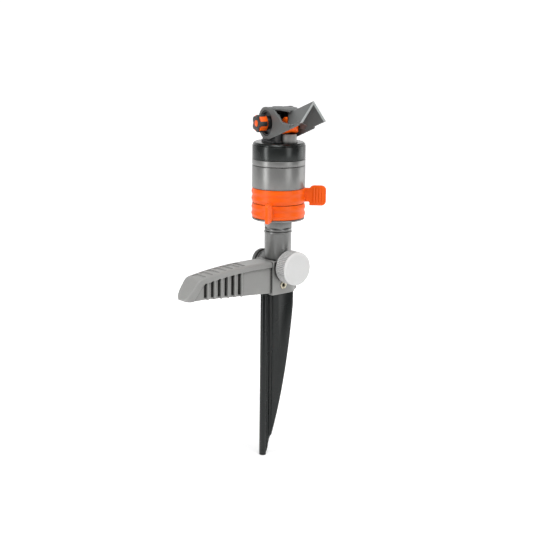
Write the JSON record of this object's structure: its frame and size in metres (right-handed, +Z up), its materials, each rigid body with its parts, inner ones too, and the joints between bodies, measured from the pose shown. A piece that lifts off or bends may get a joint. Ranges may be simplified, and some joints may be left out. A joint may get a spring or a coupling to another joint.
{
  "type": "garden sprinkler",
  "caption": "Spike-mounted garden sprinkler with a through-feed foot, a turning gear barrel, two sector rings and a tilting deflector head.",
  "frame": {"origin": "on the riser's axis at the soil line, which is the underside of the foot's hub", "axes": "+Z up along the riser and the barrel; the foot arm points along -X; the jet leaves along -Y, turned 11 degrees towards -X at rest, and the hose inlet faces +Y"},
  "size_m": [0.1526, 0.0931, 0.3621],
  "materials": {
    "spike_black": "charcoal glass-filled plastic, semi-matt",
    "foot_grey": "light grey plastic, fine matt texture",
    "steel": "stainless steel",
    "nut_cream": "nickel-brass, dull",
    "riser_grey": "mid grey plastic, satin",
    "rubber_black": "black rubber",
    "gear_white": "natural acetal plastic",
    "barrel_silver": "silver-grey plastic, satin gloss",
    "gear_grey": "grey acetal plastic",
    "cap_white": "off-white translucent plastic, satin",
    "orange_plastic": "orange plastic, satin",
    "black_plastic": "black plastic, semi-matt",
    "cap_dark": "dark grey plastic, glossy",
    "head_grey": "dark grey plastic, matt"
  },
  "bodies": {
    "foot": {"spike": "spike_black", "hub_housing": "foot_grey", "foot_arm": "foot_grey", "cross_bolt": "steel", "hex_nut": "nut_cream", "riser_tee": "riser_grey", "neck_gasket": "rubber_black", "inlet_nipple": "riser_grey", "inlet_washer": "rubber_black", "inlet_strainer": "gear_white", "union_nut": "barrel_silver", "union_o_ring": "rubber_black", "base_cup": "barrel_silver", "stem": "gear_grey", "thrust_washer": "gear_white", "stem_o_ring": "rubber_black", "retaining_washer": "steel", "fixed_gear": "gear_white"},
    "cap_seal": {"cap_washer": "rubber_black"},
    "end_cap": {"closing_cap": "cap_white"},
    "lower_ring": {"sector_ring_lower": "orange_plastic"},
    "upper_ring": {"sector_ring_upper": "orange_plastic"},
    "barrel": {"barrel_shell": "barrel_silver", "gear_axle": "steel", "turbine_pin": "steel", "gear_plate": "black_plastic", "stator": "gear_white", "shift_spring": "steel", "turret_cap": "cap_dark", "cap_o_ring": "rubber_black", "yoke": "black_plastic", "water_tube": "foot_grey", "tube_o_ring": "rubber_black", "nozzle_body": "orange_plastic", "nozzle_tip": "black_plastic"},
    "low_gear": {"gear_low": "gear_white"},
    "middle_gear": {"gear_middle": "gear_grey"},
    "high_gear": {"gear_high": "gear_white"},
    "turbine": {"turbine_rotor": "orange_plastic"},
    "shifter": {"shift_ring": "orange_plastic"},
    "hood": {"deflector_hood": "head_grey", "pivot_button": "black_plastic"},
    "jet_knob": {"star_knob": "black_plastic", "knob_core": "orange_plastic", "knob_spindle": "steel"}
  },
  "joints": [
    {"name": "cap_travel", "type": "slide", "parent": "foot", "child": "cap_seal", "axis": [0, -1, 0], "range_m": [0, 0.0104]},
    {"name": "cap_turn", "type": "hinge", "parent": "cap_seal", "child": "end_cap", "pos_m": [0, -0.0159, 0.0275], "axis": [0, -1, 0], "range_deg": [0, 1440]},
    {"name": "lower_ring_turn", "type": "hinge", "parent": "foot", "child": "lower_ring", "pos_m": [0, 0, 0.0825], "axis": [0, 0, 1], "range_deg": [-120, 40]},
    {"name": "upper_ring_turn", "type": "hinge", "parent": "foot", "child": "upper_ring", "pos_m": [0, 0, 0.097], "axis": [0, 0, 1], "range_deg": [-40, 120]},
    {"name": "barrel_spin", "type": "hinge", "parent": "foot", "child": "barrel", "pos_m": [0, 0, 0.1048], "axis": [0, 0, 1], "continuous": true},
    {"name": "low_gear_spin", "type": "hinge", "parent": "barrel", "child": "low_gear", "pos_m": [0, 0.0105, 0.112], "axis": [0, 0, 1], "continuous": true},
    {"name": "middle_gear_spin", "type": "hinge", "parent": "barrel", "child": "middle_gear", "pos_m": [0, 0, 0.116], "axis": [0, 0, 1], "continuous": true},
    {"name": "high_gear_spin", "type": "hinge", "parent": "barrel", "child": "high_gear", "pos_m": [0, 0.0105, 0.119], "axis": [0, 0, 1], "continuous": true},
    {"name": "turbine_spin", "type": "hinge", "parent": "barrel", "child": "turbine", "pos_m": [0, 0, 0.126], "axis": [0, 0, 1], "continuous": true},
    {"name": "shift_turn", "type": "hinge", "parent": "barrel", "child": "shifter", "pos_m": [0, 0, 0.1254], "axis": [0, 0, 1], "range_deg": [-5, 5]},
    {"name": "hood_tilt", "type": "hinge", "parent": "barrel", "child": "hood", "pos_m": [0.00011, 0.00059, 0.1674], "axis": [-0.9816, 0.1908, 0], "range_deg": [0, 12]},
    {"name": "knob_turn", "type": "hinge", "parent": "barrel", "child": "jet_knob", "pos_m": [0.00011, 0.00059, 0.1674], "axis": [-0.9816, 0.1908, 0], "range_deg": [-180, 180]}
  ],
  "couplings": [
    {"joint": "cap_travel", "follows": "cap_turn", "m_per_rad": 0.0004138},
    {"joint": "low_gear_spin", "follows": "barrel_spin", "ratio": 2.5},
    {"joint": "middle_gear_spin", "follows": "barrel_spin", "ratio": -6.25},
    {"joint": "high_gear_spin", "follows": "barrel_spin", "ratio": 15.625},
    {"joint": "turbine_spin", "follows": "barrel_spin", "ratio": -39.062}
  ]
}
